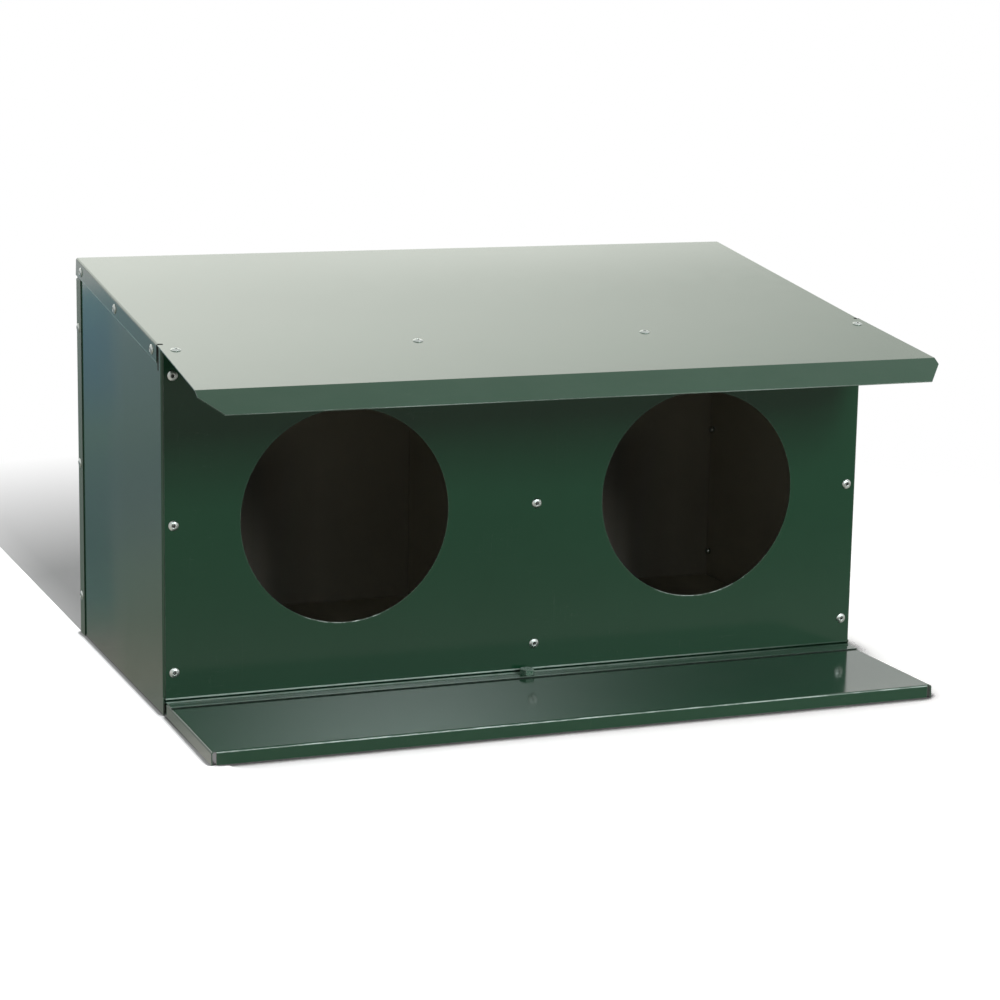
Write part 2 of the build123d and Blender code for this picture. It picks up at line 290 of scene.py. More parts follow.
def build_handling_marks():
    tree, given, result = new_group(
        "Handling marks",
        [("Scratches", 0.5), ("Dust", 0.5)],
        [("Scratch", "NodeSocketFloat"), ("Dust", "NodeSocketFloat")],
    )
    place = object_coordinates(tree)
    lines = hairlines(tree, place, 0.35, (1, 26, 26))
    for turn, stretch in ((-0.9, (24, 1, 24)), (1.2, (26, 26, 1))):
        lines = maths(tree, "MAXIMUM", lines, hairlines(tree, place, turn, stretch))
    broken = spread(tree, noise(tree, place, 14, 2), 0.56, 0.66)
    give(tree, result["Scratch"], product(tree, lines, broken, given["Scratches"]))
    lying = spread(tree, facing(tree)["Z"], 0.6, 1.0)
    cloud = spread(tree, noise(tree, place, 22, 4, 0.65), 0.4, 0.75)
    give(tree, result["Dust"], product(tree, lying, cloud, given["Dust"]))
    print("group", tree.name, len(tree.nodes), "nodes")
    return tree


handling_marks = build_handling_marks()

# %% [markdown]
# The inside of the compartments is dull and brownish, as the reverse of coated sheet is. A wall is one sheet
# with two faces, so the group below finds the inside by place: it is 1 where a point lies behind the outer
# half of every wall, and 0 elsewhere. Low down the colour is paler, and the left part of each compartment's
# back wall is painted darker: painted shade over the patch that the front light reaches through the entrance.


# %% Group: inside of the box
inside_upper = (0.41, 0.385, 0.30, 1)
inside_lower = (0.60, 0.57, 0.48, 1)
# Painted shade: dark brown for the patch of back wall that the front light reaches.
painted_shade_brown = (0.10, 0.09, 0.07, 1)
shade_shift = 0.06


def inside_mask(tree, x, y, z):
    half_sheet = sheet / 2
    from_side = maths(tree, "SUBTRACT", wall_x, maths(tree, "ABSOLUTE", x))
    from_front = maths(tree, "SUBTRACT", y, front_face)
    from_floor = maths(tree, "SUBTRACT", z, floor_top)
    under_roof = maths(tree, "SUBTRACT", maths(tree, "MULTIPLY_ADD", from_front, fall, roof_front), z)
    return product(
        tree,
        maths(tree, "GREATER_THAN", from_side, half_sheet),
        maths(tree, "GREATER_THAN", from_front, half_sheet),
        maths(tree, "LESS_THAN", y, back_face - half_sheet),
        maths(tree, "GREATER_THAN", under_roof, half_sheet),
        maths(tree, "GREATER_THAN", maths(tree, "ADD", from_side, from_front), 4 * sheet),
        maths(tree, "GREATER_THAN", maths(tree, "ADD", from_floor, from_front), 16 * sheet),
    )


def inside_colour(tree, x, z):
    colour = blend_colour(tree, spread(tree, z, 0.2, 0.02), inside_upper, inside_lower)
    in_left_box = maths(tree, "LESS_THAN", x, 0.0)
    shifted = maths(tree, "SUBTRACT", x, shade_shift)
    from_left = maths(tree, "MULTIPLY_ADD", in_left_box, wall_x + shade_shift, shifted)
    # Painted shade: the left part of each back wall is darkened where the front light falls in.
    lit_patch_shade = product(tree, spread(tree, from_left, 0.25, 0.18), spread(tree, z, 0.24, 0.16))
    return blend_colour(tree, product(tree, lit_patch_shade, 0.8), colour, painted_shade_brown)


def build_inside():
    outputs = [("Mask", "NodeSocketFloat"), ("Colour", "NodeSocketColor")]
    tree, given, result = new_group("Inside of the box", [], outputs)
    x, y, z = object_axes(tree)
    give(tree, result["Mask"], inside_mask(tree, x, y, z))
    give(tree, result["Colour"], inside_colour(tree, x, z))
    print("group", tree.name, len(tree.nodes), "nodes")
    return tree


inside_box = build_inside()

# %% [markdown]
# At each front corner of the roof a slit, 1 mm wide, lets the fold end there. On the real box no light comes
# out of it, but a glossy coat inside such a narrow gap would mirror the studio. This group marks a band 4 mm
# wide about the slit, and the coat is then painted black and dull there: painted shade.

# %% Group: painted shade in the relief slits
slit_middle = front_face + 10.5 * MM
slit_zone = 2 * MM
slit_inset = 4.5 * sheet
slit_drop = 22 * MM


def build_slit_shade():
    tree, given, result = new_group("Relief slits", [], [("Mask", "NodeSocketFloat")])
    axes = object_axes(tree)
    off = maths(tree, "ABSOLUTE", maths(tree, "SUBTRACT", axes["Y"], slit_middle))
    outward = maths(tree, "ABSOLUTE", axes["X"])
    mask = product(
        tree,
        maths(tree, "LESS_THAN", off, slit_zone),
        maths(tree, "GREATER_THAN", outward, wall_x - slit_inset),
        maths(tree, "GREATER_THAN", axes["Z"], roof_front - slit_drop),
    )
    give(tree, result["Mask"], mask)
    print("group", tree.name, len(tree.nodes), "nodes")
    return tree


slit_shade_group = build_slit_shade()

# %% [markdown]
# ## Finishes
# A finish starts with a Principled shader, whose constant properties are set on its own sockets. Colour,
# roughness and bump then come from the groups, each placed with values of its own.


# %% Finish helpers
def new_finish(name, colour, **constants):
    material = bpy.data.materials.new(name)
    material.use_nodes = True
    material.diffuse_color = colour
    tree = material.node_tree
    shader = tree.nodes["Principled BSDF"]
    feed(tree, shader, **constants)
    return material, tree, shader


def use_group(tree, group, **values):
    node = add(tree, "ShaderNodeGroup", node_tree=group)
    feed(tree, node, **values)
    return node.outputs


print("ready: new_finish, use_group")

# %% [markdown]
# The moss green coat is dark and half glossy: its body colour is nearly pure green, and the pale tones on the
# roof and the side come from what it mirrors. It could be one material for all sheets, but wear and painted
# light sit in other places on each of them, so a function builds it with up to three masks:
# "painted_highlight" is a painted highlight, "shade" is painted shade, and "scuff" is duller coat, its paler
# tint on the back's folds a painted reflection.

# %% Colours of the moss green coat
leaf_green = (0.0118, 0.063, 0.030)
deep_green = (0.0100, 0.058, 0.027)
dust_grey = (0.42, 0.42, 0.38, 1)
scratched = (0.3, 0.36, 0.32, 1)
# Pale edges: worn coat, and in part painted highlight.
pale_edge_and_highlight = (0.42, 0.5, 0.45, 1)
# Painted highlight: pale for the highlight lines.
painted_highlight_pale = (0.55, 0.68, 0.62, 1)
# Painted shade: near black for the dark lines.
painted_shade_dark = (0.003, 0.006, 0.004, 1)
# Painted shade: black for the band about each relief slit.
painted_slit_black = (0.002, 0.003, 0.002, 1)
# Scuff tone: on the back's folds partly a painted reflection.
scuff_and_reflection_tone = (0.5, 0.47, 0.4, 1)
print("coat", leaf_green, "to", deep_green)

# %% [markdown]
# The function stacks layers of colour on the coat, such as dust, scratches, pale edges, painted highlights
# and painted shade, each with its own share. Roughness grows with dust, painted shade and scuffs. A normal
# tipped up a
# little stands for a sheet that bows: what it mirrors moves up or down, and its shape stays straight.


# %% Builder of the moss green coat
# A factor above 1 gives a paler copy of the coat: painted light.
def lifted(colour, painted_lift):
    return (*[channel * painted_lift for channel in colour], 1)


def tip_up(tree, normal, bow):
    tipped = vector_maths(tree, "ADD", normal, (0, 0, bow))
    return vector_maths(tree, "NORMALIZE", tipped)


def build_green_coat(name, peel=1.0, waves=1.0, dust=0.4, bow=0.0, painted_lift=1.0, edge_wear_and_highlight=0.35,
                     scuff=None, scuff_and_reflection_tint=0.0, painted_highlight=None, shade=None):
    green = lifted(leaf_green, painted_lift)
    material, tree, shader = new_finish(name, green, IOR=1.45)
    surface = use_group(tree, coat_surface, Peel=peel, Waves=waves)
    edges = use_group(tree, worn_edges, Radius=0.5 * MM, Breakup=0.5)
    marks = use_group(tree, handling_marks, Scratches=0.35, Dust=dust)
    inside = use_group(tree, inside_box)
    slit_shade = use_group(tree, slit_shade_group)
    rough = spread(tree, surface["Dullness"], 0.0, 1.0, 0.10, 0.125)
    rough = maths(tree, "ADD", rough, product(tree, marks["Dust"], 0.02))
    layers = [
        (product(tree, marks["Dust"], 0.05), dust_grey),
        (product(tree, marks["Scratch"], 0.12), scratched),
        # Pale edges: worn coat, and in part painted highlight; the board, roof and bolt take more of it.
        (product(tree, edges["Mask"], edge_wear_and_highlight), pale_edge_and_highlight),
    ]
    # Layers of painted highlight and painted shade.
    if painted_highlight:
        layers.append((painted_highlight(tree), painted_highlight_pale))
    if shade:
        painted_dark = shade(tree)
        layers.append((product(tree, painted_dark, 0.85), painted_shade_dark))
        rough = maths(tree, "ADD", rough, product(tree, painted_dark, 0.5))
    # The band about each relief slit is painted black: painted shade.
    layers += [(inside["Mask"], inside["Colour"]), (slit_shade["Mask"], painted_slit_black)]
    # Scuffs dull the coat; on the back's folds their paler tint is a painted reflection.
    if scuff:
        worn = scuff(tree)
        layers.append((product(tree, worn, scuff_and_reflection_tint), scuff_and_reflection_tone))
        rough = maths(tree, "ADD", rough, product(tree, worn, 0.3))
    colour = blend_colour(tree, surface["Tone"], lifted(deep_green, painted_lift), green)
    for share, over in layers:
        colour = blend_colour(tree, share, colour, over)
    rough = maths(tree, "ADD", rough, product(tree, inside["Mask"], 0.6))
    rough = maths(tree, "ADD", rough, slit_shade["Mask"], clamp=True)
    normal = tip_up(tree, edges["Normal"], bow) if bow else edges["Normal"]
    bump = add(tree, "ShaderNodeBump")
    feed(tree, bump, Strength=0.35, Distance=0.004 * MM, Height=surface["Height"], Normal=normal)
    feed(tree, shader, Base_Color=colour, Roughness=rough, Normal=bump.outputs[0])
    print("finish", name, len(tree.nodes), "nodes")
    return material


# %% [markdown]
# ## Where the coat is worn, and where light and shade are painted
# Hands grip the narrow folds along the roof and the back when the box is carried, so these are duller than
# the flat sheets; the back's folds are also painted paler grey, a painted reflection of the greyer studio a
# turned fold mirrors. The front third of each side is duller and a little paler. The first mask comes from
# the way a face looks, the second from its place, with a noise that keeps its border ragged.


# %% Scuffs on the folds and sides, with a painted reflection on the back's folds
def fold_scuff(tree, most=1.0):
    """1 on folds that look sideways."""
    sideways = maths(tree, "ABSOLUTE", facing(tree)["X"])
    return spread(tree, sideways, 0.6, 0.95, 0.0, most)


def light_fold_scuff(tree):
    return fold_scuff(tree, 0.2)


def side_scuff(tree):
    place, axes = object_place(tree)
    ragged = product(tree, noise(tree, place, 14, 3), 0.05)
    forward = spread(tree, maths(tree, "ADD", axes["Y"], ragged), 0.14, 0.07)
    return product(tree, forward, 0.45)


print("ready: fold_scuff, light_fold_scuff, side_scuff")

# %% [markdown]
# The lowest two millimetres of the front panel and the lower rims of the entrances get thin pale lines,
# broken by a noise: painted highlights. The line at the foot grows fainter towards the right.

# %% Painted highlights on the front panel
panel_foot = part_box("front_panel")[0].z
entrance_radius = 100 * MM
entrance_offset = 177.75 * MM
entrance_height = 174.5 * MM


# Painted highlights grow faint towards the right.
def highlight_fades_right(tree, x):
    return spread(tree, x, 0.0, 0.3, 1.0, 0.12)


def entrance_rim_highlight(tree, place, axes):
    across = maths(tree, "SUBTRACT", maths(tree, "ABSOLUTE", axes["X"]), entrance_offset)
    along = maths(tree, "SUBTRACT", axes["Z"], entrance_height)
    from_middle = maths(tree, "SQRT", sum_of_squares(tree, across, along))
    from_rim = maths(tree, "SUBTRACT", from_middle, entrance_radius)
    narrow = spread(tree, from_rim, 0.9 * MM, 0.5 * MM)
    low = spread(tree, along, -0.9 * entrance_radius, -0.96 * entrance_radius)
    dashes = spread(tree, noise(tree, place, 110, 2), 0.42, 0.55, 0.15, 0.8)
    return product(tree, narrow, low, dashes)


# Painted highlights along the panel's foot and the entrances' lower rims.
def front_painted_highlights(tree):
    place, axes = object_place(tree)
    broken = spread(tree, noise(tree, place, 60, 3), 0.3, 0.5, 0.7, 1.0)
    broken = product(tree, broken, highlight_fades_right(tree, axes["X"]))
    foot = spread(tree, axes["Z"], panel_foot + 2.3 * MM, panel_foot + 1.7 * MM)
    return maths(tree, "MAXIMUM", product(tree, foot, broken), entrance_rim_highlight(tree, place, axes))


print("front panel's foot at", round(panel_foot, 4))

# %% [markdown]
# The floor's ledge in front of the panel gets two pale lines, painted highlights, right before the panel and
# at its own front bend, and its right end is painted a little paler: painted light. Its cut front face is
# painted
# dark: painted shade.

# %% Painted highlights and shade on the ledge
ledge_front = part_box("floor_panel")[0].y


# Painted highlights on the ledge, and painted light on its right end.
def ledge_painted_highlights(tree):
    place, axes = object_place(tree)
    broken = spread(tree, noise(tree, place, 60, 3), 0.3, 0.5, 0.6, 1.0)
    off = maths(tree, "ABSOLUTE", maths(tree, "SUBTRACT", axes["Y"], front_face - 3.2 * MM))
    top = spread(tree, axes["Z"], floor_top - 0.4 * MM, floor_top - 0.2 * MM)
    rear = spread(tree, off, 2.6 * MM, 1.8 * MM)
    front = product(tree, spread(tree, axes["Y"], ledge_front + 3.4 * MM, ledge_front + 2.4 * MM), 0.35)
    lines = product(tree, maths(tree, "ADD", rear, front), broken, highlight_fades_right(tree, axes["X"]))
    ahead = maths(tree, "LESS_THAN", axes["Y"], front_face)
    paler_right_end = product(tree, spread(tree, axes["X"], 0.1, 0.25, 0.0, 0.05), ahead)
    return product(tree, maths(tree, "ADD", lines, paler_right_end), top)


# Painted shade on the ledge's cut front face.
def ledge_shade(tree):
    axes = object_axes(tree)
    cut = maths(tree, "LESS_THAN", facing(tree, "True Normal")["Y"], -0.7)
    return product(tree, cut, maths(tree, "LESS_THAN", axes["Y"], front_face - 5 * MM))


print("ledge's front at", round(ledge_front, 4))

# %% [markdown]
# The upper half of the landing board's front bend gets a pale broken line, a painted highlight. Where the
# ledge's front edge lies on the board, a thin dark line of painted shade lies on it.


# %% Painted highlight and shade on the landing board
# Painted highlight on the upper half of the front bend.
def bend_painted_highlight(tree):
    look = facing(tree)
    upper = product(tree, spread(tree, look["Z"], 0.3, 0.45), spread(tree, look["Z"], 0.85, 0.7))
    forward = spread(tree, look["Y"], -0.3, -0.5)
    broken = spread(tree, noise(tree, object_coordinates(tree), 45, 3), 0.4, 0.6, 0.35, 1.0)
    return product(tree, upper, forward, broken)


# Painted shade: a thin dark line in front of the ledge's edge.
def board_shade(tree):
    axes = object_axes(tree)
    near = spread(tree, axes["Y"], ledge_front - 5 * MM, ledge_front - 2.5 * MM)
    in_front = maths(tree, "LESS_THAN", axes["Y"], ledge_front + 1 * MM)
    looks_up = maths(tree, "GREATER_THAN", facing(tree)["Z"], 0.7)
    return product(tree, near, in_front, looks_up)


print("dirt on the board from", round(ledge_front - 5 * MM, 4))

# %% [markdown]
# The roof's lower edges, along its folds and its dropped lip, get a faint pale line: thin coat on the cut,
# and in part a painted highlight of the rounded edge. Pale speckles on the bolt are painted light on its
# shaded faces.

# %% Pale lines on the roof's edges and speckles on the bolt
fold_depth = 17 * MM
lip_low = min(v.co.z for v in nodes["roof_panel"].data.vertices if v.co.y < front_face - 30 * MM)


# A pale line on the lower edges: thin coat on the cut, in part painted highlight.
def roof_edge_highlights(tree):
    place, axes = object_place(tree)
    from_front = maths(tree, "SUBTRACT", axes["Y"], front_face)
    roof_height = maths(tree, "MULTIPLY_ADD", from_front, fall, roof_front)
    under_roof = maths(tree, "SUBTRACT", roof_height, axes["Z"])
    behind = spread(tree, from_front, 11 * MM, 12 * MM)
    broken = spread(tree, noise(tree, place, 30, 2), 0.35, 0.6, 0.12, 0.35)
    line = spread(tree, under_roof, fold_depth - 1.2 * MM, fold_depth - 0.8 * MM)
    folds = product(tree, line, behind, broken)
    ahead = spread(tree, from_front, -20 * MM, -21 * MM)
    patchy = spread(tree, noise(tree, place, 8, 2), 0.35, 0.6, 0.15, 0.5)
    lip = spread(tree, axes["Z"], lip_low + 0.9 * MM, lip_low + 0.6 * MM)
    return maths(tree, "MAXIMUM", folds, product(tree, lip, patchy, ahead))


# Painted light: pale speckles that lift the bolt's shaded faces.
def bolt_painted_light(tree):
    return spread(tree, noise(tree, object_coordinates(tree), 900, 3), 0.4, 0.65, 0.03, 0.3)


print("lip down to", round(lip_low, 4))

# %% [markdown]
# With the masks ready, each sheet gets its own mix of the same coat. The bolt was painted by brush, so its
# coat is thicker, with more peel and no long waves. The floor, the landing board and the bolt get paler
# copies of the coat, painted light that lifts them, and the board, roof and bolt stronger pale edges, partly
# painted highlight.

# %% Finish: moss green coat
green_coat = build_green_coat("moss green coat")
front_coat = build_green_coat("moss green coat on the front", bow=0.045, painted_highlight=front_painted_highlights)
roof_coat = build_green_coat(
    "moss green coat on the roof", scuff=light_fold_scuff, edge_wear_and_highlight=0.5, painted_highlight=roof_edge_highlights,
)
# Painted reflection: the back's folds are tinted paler grey.
back_coat = build_green_coat("moss green coat on the back", scuff=fold_scuff, scuff_and_reflection_tint=0.2)
side_coat = build_green_coat("moss green coat on the sides", scuff=side_scuff, scuff_and_reflection_tint=0.06)
# Painted light: the floor, board and bolt get paler copies of the coat.
floor_coat = build_green_coat("moss green coat on the floor", painted_lift=1.15, painted_highlight=ledge_painted_highlights, shade=ledge_shade)
board_coat = build_green_coat(
    "moss green coat on the landing board", painted_lift=1.1, edge_wear_and_highlight=0.7, painted_highlight=bend_painted_highlight, shade=board_shade,
)
bolt_coat = build_green_coat(
    "moss green coat on the bolt", peel=2.0, waves=0.0, dust=0.8, painted_lift=1.6, edge_wear_and_highlight=0.8, painted_highlight=bolt_painted_light,
)

# %% [markdown]
# The rivets are bright aluminium, their broken mandrels darker steel, and the bolt's washer and nut zinc
# plated. All three are bare metal: two tones and a fine grain in the roughness, paler where an edge is worn.
# The aluminium is a little green, a painted reflection of the coat, and the mandrel is near black, painted
# shade in the hole, which the hole's wall shares.


# %% Finish: bright aluminium and zinc
def build_metal(name, bright, dull, rough_low, rough_high, scratches):
    material, tree, shader = new_finish(name, bright, IOR=1.5, Metallic=1.0)
    surface = use_group(tree, coat_surface, Peel=1.0, Waves=0.0)
    edges = use_group(tree, worn_edges, Radius=0.15 * MM, Breakup=0.3)
    marks = use_group(tree, handling_marks, Scratches=scratches, Dust=0.3)
    colour = blend_colour(tree, surface["Dullness"], bright, dull)
    colour = blend_colour(tree, product(tree, edges["Mask"], 0.5), colour, (0.9, 0.9, 0.89, 1))
    colour = blend_colour(tree, product(tree, marks["Scratch"], 0.4), colour, (0.35, 0.35, 0.34, 1))
    rough = spread(tree, surface["Dullness"], 0.0, 1.0, rough_low, rough_high)
    bump = add(tree, "ShaderNodeBump")
    feed(tree, bump, Strength=0.5, Distance=0.003 * MM, Height=surface["Height"], Normal=edges["Normal"])
    feed(tree, shader, Base_Color=colour, Roughness=rough, Normal=bump.outputs[0])
    print("finish", name, len(tree.nodes), "nodes")
    return material


# Painted reflection: the aluminium is tinted a little green, as by the coat round it.
aluminium = build_metal("bright aluminium", (0.56, 0.60, 0.57, 1), (0.38, 0.41, 0.39, 1), 0.2, 0.4, 0.6)
# Painted shade: the mandrel steel is near black, for the shade in the rivet's hole.
hole_shade_steel = build_metal("mandrel steel", (0.07, 0.07, 0.065, 1), (0.03, 0.03, 0.028, 1), 0.35, 0.6, 0.4)
zinc = build_metal("zinc plated steel", (0.62, 0.63, 0.64, 1), (0.45, 0.46, 0.47, 1), 0.28, 0.5, 0.5)

# %% [markdown]
# The measured sheets stay as they are: their shape is already the real one, folds and cuts included. They
# only need their finishes, one on each.

# %% Dress the sheets and the bolt
finishes = {
    "roof_panel": roof_coat, "front_panel": front_coat, "left_side_panel": side_coat,
    "right_side_panel": side_coat, "back_panel": back_coat, "floor_panel": floor_coat,
    "centre_divider": green_coat, "landing_board": board_coat, "landing_board_bolt": bolt_coat,
    "landing_board_washer": zinc, "landing_board_nut": zinc,
}
for name, finish in finishes.items():
    piece = nodes[name]
    piece.data.materials.clear()
    piece.data.materials.append(finish)
    for face in piece.data.polygons:
        face.material_index = 0
print("dressed", len(finishes), "nodes")

# %% [markdown]
# ## Blind rivets
# A set blind rivet has a low domed head with a rolled rim, a round hole in the middle, and in it the broken
# end of the steel mandrel that pulled it tight. Behind the sheets its body has swollen into a bulb. All of it
# is round, so one half profile spun about the axis makes the whole rivet.

# %% Rivet profile
head_height = 1.6 * MM
rivet_profile = [
    (0.0, 0.32), (0.5, 0.4), (0.95, 0.28), (1.15, 0.0), (1.5, -0.1), (1.56, 1.2), (1.68, 1.46),
    (1.9, 1.58), (2.5, 1.5), (3.2, 1.28), (3.9, 0.96), (4.4, 0.66), (4.68, 0.42), (4.75, 0.22),
    (4.7, 0.05), (4.55, 0.0), (2.42, 0.0), (2.4, -2.0), (3.1, -2.06), (3.5, -2.7), (3.5, -4.3),
    (3.1, -5.5), (2.2, -6.3), (1.4, -6.5), (0.0, -6.5),
]
dark_hole_reach = 1.54 * MM
spin_steps = 40


def build_rivet():
    rivet = bmesh.new()
    points = [rivet.verts.new((r * MM, 0, z * MM)) for r, z in rivet_profile]
    edges = [rivet.edges.new(pair) for pair in zip(points, points[1:])]
    bmesh.ops.spin(
        rivet, geom=points + edges, cent=(0, 0, 0), axis=(0, 0, 1),
        angle=math.tau, steps=spin_steps, use_merge=True,
    )
    bmesh.ops.remove_doubles(rivet, verts=rivet.verts, dist=0.001 * MM)
    bmesh.ops.recalc_face_normals(rivet, faces=rivet.faces)
    for face in rivet.faces:
        middle = face.calc_center_median()
        # Faces in the hole, the mandrel's end and the hole's wall, take the near black finish: painted shade.
        in_hole = middle.z > 0 and math.hypot(middle.x, middle.y) < dark_hole_reach
        face.material_index = 1 if in_hole else 0
        face.smooth = True
    return rivet


one_rivet = build_rivet()
print("rivet faces", len(one_rivet.faces))

# %% [markdown]
# Each rivet's place is read from the measured model: the loose parts of a rivet group are told apart by
# walking from vertex to vertex, and the middle of each one lies on its axis. On the roof, which falls to the
# front, the axis leans, so the mean of the points is taken there and not the middle of their box. It is added
# up with fsum, which doesn't round on the way, so the order of the walk makes no difference.


# %% Rivet places
def loose_parts(mesh):
    """The points of each loose part of a mesh."""
    left = set(mesh.verts)
    while left:
        points, to_visit = [], [left.pop()]
        while to_visit:
            vert = to_visit.pop()
            points.append(vert.co.copy())
            for edge in vert.link_edges:
                other = edge.other_vert(vert)
                if other in left:
                    left.remove(other)
                    to_visit.append(other)
        yield points


def rivet_places(node, axis):
    """Points on the sheet's face under each head of a rivet group."""
    mesh = bmesh.new()
    mesh.from_mesh(nodes[node].data)
    bmesh.ops.remove_doubles(mesh, verts=mesh.verts, dist=0.01 * MM)
    leans = max(abs(c) for c in axis) < 0.999
    places = []
    for points in loose_parts(mesh):
        low = Vector([min(p[i] for p in points) for i in range(3)])
        high = Vector([max(p[i] for p in points) for i in range(3)])
        mean = Vector([math.fsum(p[i] for p in points) / len(points) for i in range(3)])
        middle = mean if leans else (low + high) / 2
        seat = max(p.dot(axis) for p in points) - head_height
        places.append(middle + axis * (seat - middle.dot(axis)))
    mesh.free()
    return sorted(places, key=lambda p: (p.x, p.y, p.z))


print("ready: loose_parts, rivet_places")

# %% [markdown]
# The way the heads look is known from the sheet that they hold. Each group becomes one piece that replaces
# its plain node, and every rivet in it is turned further than the last, as a fitter would leave them.

# %% Rivet groups
roof_slope = math.atan(fall)
roof_normal = (0, -math.sin(roof_slope), math.cos(roof_slope))
to_front, to_back, to_left, to_right = (0, -1, 0), (0, 1, 0), (-1, 0, 0), (1, 0, 0)
heads_look = {
    "front_left_rivets": to_front, "front_centre_rivets": to_front, "front_right_rivets": to_front,
    "roof_front_rivets": roof_normal, "roof_left_rivets": to_left, "roof_right_rivets": to_right,
    "roof_back_rivets": to_back, "back_left_rivets": to_left, "back_right_rivets": to_right,
    "back_centre_rivets": to_back, "floor_back_rivets": to_back,
}
turn_between = 2.1
turn_between_groups = 0.7
sharp_angle = math.radians(50)


def new_piece(name, mesh):
    piece = bpy.data.objects.new(name, mesh)
    bpy.context.scene.collection.objects.link(piece)
    return piece


def build_rivet_group(node, axis, first_turn):
    axis = Vector(axis).normalized()
    template = bpy.data.meshes.new("one rivet")
    one_rivet.to_mesh(template)
    group = bmesh.new()
    places = rivet_places(node, axis)
    for i, place in enumerate(places):
        before = len(group.verts)
        group.from_mesh(template)
        group.verts.ensure_lookup_table()
        turn = Matrix.Rotation(first_turn + turn_between * i, 4, "Z")
        aim = axis.to_track_quat("Z", "Y").to_matrix().to_4x4()
        placing = Matrix.Translation(place) @ aim @ turn
        bmesh.ops.transform(group, matrix=placing, verts=group.verts[before:])
    mesh = bpy.data.meshes.new(node)
    group.to_mesh(mesh)
    group.free()
    bpy.data.meshes.remove(template)
    mesh.materials.append(aluminium)
    mesh.materials.append(hole_shade_steel)
    mesh.set_sharp_from_angle(angle=sharp_angle)
    piece = new_piece("set_" + node, mesh)
    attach(piece, "root")
    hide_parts(node)
    return len(places)


made = {}
for i, (node, axis) in enumerate(heads_look.items()):
    made[node] = build_rivet_group(node, axis, turn_between_groups * i)
print("rivets", sum(made.values()), made)

# %% [markdown]
# ## Studio
# The studio is a floor, a weak even light all round, three soft boxes and some cards. Three helpers serve all
# of them: one makes a glow, one mixes two shaders, and one tells which rays should meet a white background.


# %% Studio helpers
def emission(tree, colour, strength):
    return feed(tree, add(tree, "ShaderNodeEmission"), Color=colour, Strength=strength).outputs[0]


def mix_shaders(tree, share, first, second):
    node = add(tree, "ShaderNodeMixShader")
    for socket, value in zip(node.inputs, (share, first, second)):
        give(tree, socket, value)
    return node.outputs[0]


def sees_white(tree):
    """1 for camera, mirror and glass rays, which meet a white background."""
    path = add(tree, "ShaderNodeLightPath").outputs
    seen = maths(tree, "MAXIMUM", path["Is Camera Ray"], path["Is Glossy Ray"])
    return maths(tree, "MAXIMUM", seen, path["Is Transmission Ray"])


print("ready: emission, mix_shaders, sees_white")

# %% [markdown]
# The floor is a plain pale sheet that the camera sees as white, with the object's own shadow left on it.
# White comes from the floor's own glow, which only camera, mirror and glass rays meet, so it puts no extra
# light on the object. Where the floor comes close to the object it is darkened by ambient occlusion, a soft
# contact shadow. On the left the glow is stronger and the shadow shorter and lighter, set by place: painted
# light on the floor. Under the landing board the floor is painted darker: painted shade.

# %% Floor
board_low, board_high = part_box("landing_board")
floor_size = 14
floor_colour = (0.84, 0.84, 0.84, 1)
white = (1, 1, 1, 1)


def floor_lightness(tree, axes):
    """What the contact shadow and the painted shade under the board leave of the floor's light."""
    reach = spread(tree, axes["X"], -0.324, -0.336, 55 * MM, 7.5 * MM)
    closeness = feed(tree, add(tree, "ShaderNodeAmbientOcclusion", samples=8), Distance=reach)
    openness = maths(tree, "POWER", spread(tree, closeness.outputs["AO"], 0.61, 0.887), 3.0)
    darkest = spread(tree, axes["X"], -0.335, -0.36, 0.08, 0.3)
    under_board = product(
        tree,
        maths(tree, "GREATER_THAN", axes["X"], board_low.x + sheet / 2),
        maths(tree, "LESS_THAN", axes["X"], board_high.x - sheet / 2),
        maths(tree, "GREATER_THAN", axes["Y"], board_low.y + sheet / 2),
    )
    # Painted shade: the floor under the landing board is darker.
    below = maths(tree, "MULTIPLY_ADD", under_board, -0.7, 1.0)
    return product(tree, maths(tree, "MAXIMUM", openness, darkest), below)


def build_floor():
    floor = bmesh.new()
    bmesh.ops.create_grid(floor, x_segments=8, y_segments=8, size=floor_size)
    mesh = bpy.data.meshes.new("studio floor")
    floor.to_mesh(mesh)
    floor.free()
    material, tree, shader = new_finish(
        "pale floor", (0.9, 0.9, 0.9, 1), Base_Color=floor_colour, Roughness=0.9, Specular_IOR_Level=0.0,
    )
    place, axes = object_place(tree)
    # Painted light: the glow is stronger on the left, which pales the shadow there.
    glow = emission(tree, white, spread(tree, axes["X"], -0.32, -0.37, 0.5, 1.0))
    lit = add(tree, "ShaderNodeAddShader")
    give(tree, lit.inputs[0], shader.outputs[0])
    give(tree, lit.inputs[1], glow)
    near = mix_shaders(tree, floor_lightness(tree, axes), emission(tree, white, 0.0), lit.outputs[0])
    far_off = spread(tree, vector_maths(tree, "LENGTH", place), 0.6, 1.2)
    shown = mix_shaders(tree, far_off, near, emission(tree, white, 1.0))
    surface = mix_shaders(tree, sees_white(tree), shader.outputs[0], shown)
    give(tree, tree.nodes["Material Output"].inputs[0], surface)
    mesh.materials.append(material)
    piece = new_piece("studio_floor", mesh)
    print("floor", 2 * floor_size, "m wide,", len(tree.nodes), "nodes")


build_floor()

# %% [markdown]
# The world does the same: rays that should see a background meet white, and the object gets only a weak even
# light from it, so that the deepest shade isn't quite black.

